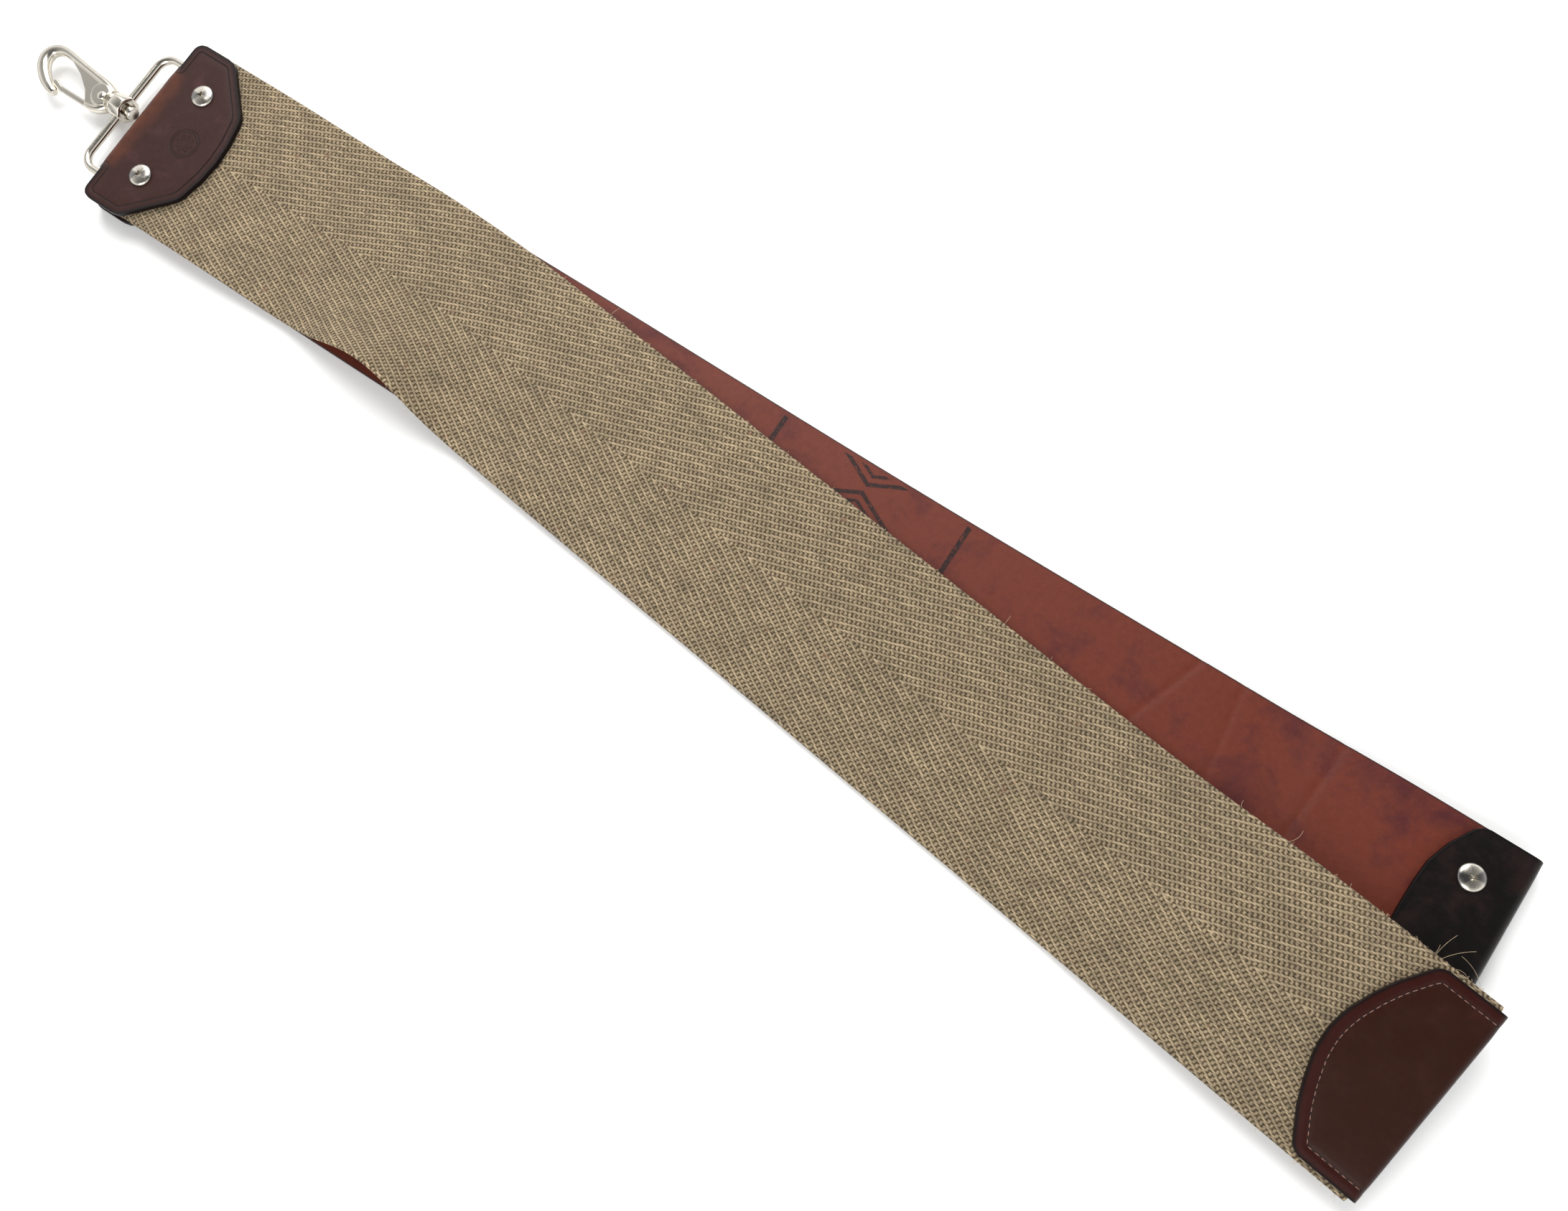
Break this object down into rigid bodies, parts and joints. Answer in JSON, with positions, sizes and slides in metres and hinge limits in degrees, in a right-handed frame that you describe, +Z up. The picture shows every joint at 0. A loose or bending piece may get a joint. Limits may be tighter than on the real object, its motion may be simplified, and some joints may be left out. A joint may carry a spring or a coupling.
{
  "type": "leather strop",
  "caption": "Hanging strop: a leather strap and a linen strap screwed into a folded leather hanger with a swivel snap hook, each with a leather end.",
  "frame": {"origin": "on the surface the strop lies on, under the middle of the leather strap's flat stretch", "axes": "+X along the leather strap from the hanger towards the handle, +Z up out of the surface"},
  "size_m": [0.6608, 0.128, 0.0184],
  "materials": {
    "strap_leather": "satin russet leather",
    "hanger_leather": "polished dark brown leather",
    "handle_leather": "smooth near-black leather",
    "cap_leather": "glossy red-brown leather",
    "linen": "coarse herringbone linen webbing",
    "screw_nickel": "polished nickel plate",
    "hook_nickel": "bright nickel plate on a casting",
    "spring_steel": "drawn wire"
  },
  "bodies": {
    "strop": {"leather_strap": "strap_leather", "hanger_tab": "hanger_leather", "linen_clamped_end": "linen", "leather_handle": "handle_leather", "hanger_screw_1": "screw_nickel", "hanger_screw_2": "screw_nickel", "hanger_post_1": "screw_nickel", "hanger_post_2": "screw_nickel", "handle_screw_1": "screw_nickel", "handle_screw_2": "screw_nickel", "handle_post_1": "screw_nickel", "handle_post_2": "screw_nickel"},
    "linen": {"linen_strap": "linen", "linen_end_cap": "cap_leather"},
    "loop": {"hanger_loop": "hook_nickel"},
    "hook": {"snap_hook_body": "hook_nickel", "gate_rivet": "hook_nickel", "gate_spring": "spring_steel"},
    "gate": {"hook_gate": "hook_nickel"}
  },
  "joints": [
    {"name": "linen_lift", "type": "hinge", "parent": "strop", "child": "linen", "pos_m": [-0.254, 0.0008, 0.0084], "axis": [0, -1, 0], "range_deg": [0, 75]},
    {"name": "loop_swing", "type": "hinge", "parent": "strop", "child": "loop", "pos_m": [-0.295, 0, 0.006], "axis": [0, 1, 0], "range_deg": [-30, 30]},
    {"name": "hook_swivel", "type": "hinge", "parent": "loop", "child": "hook", "pos_m": [-0.3127, 0, 0.006], "axis": [1, 0, 0], "continuous": true},
    {"name": "gate_open", "type": "hinge", "parent": "hook", "child": "gate", "pos_m": [-0.3187, -0.0009, 0.006], "axis": [0, 0, -1], "range_deg": [0, 18], "stiffness_Nm_per_rad": 0.006, "springref_deg": -34.38}
  ]
}
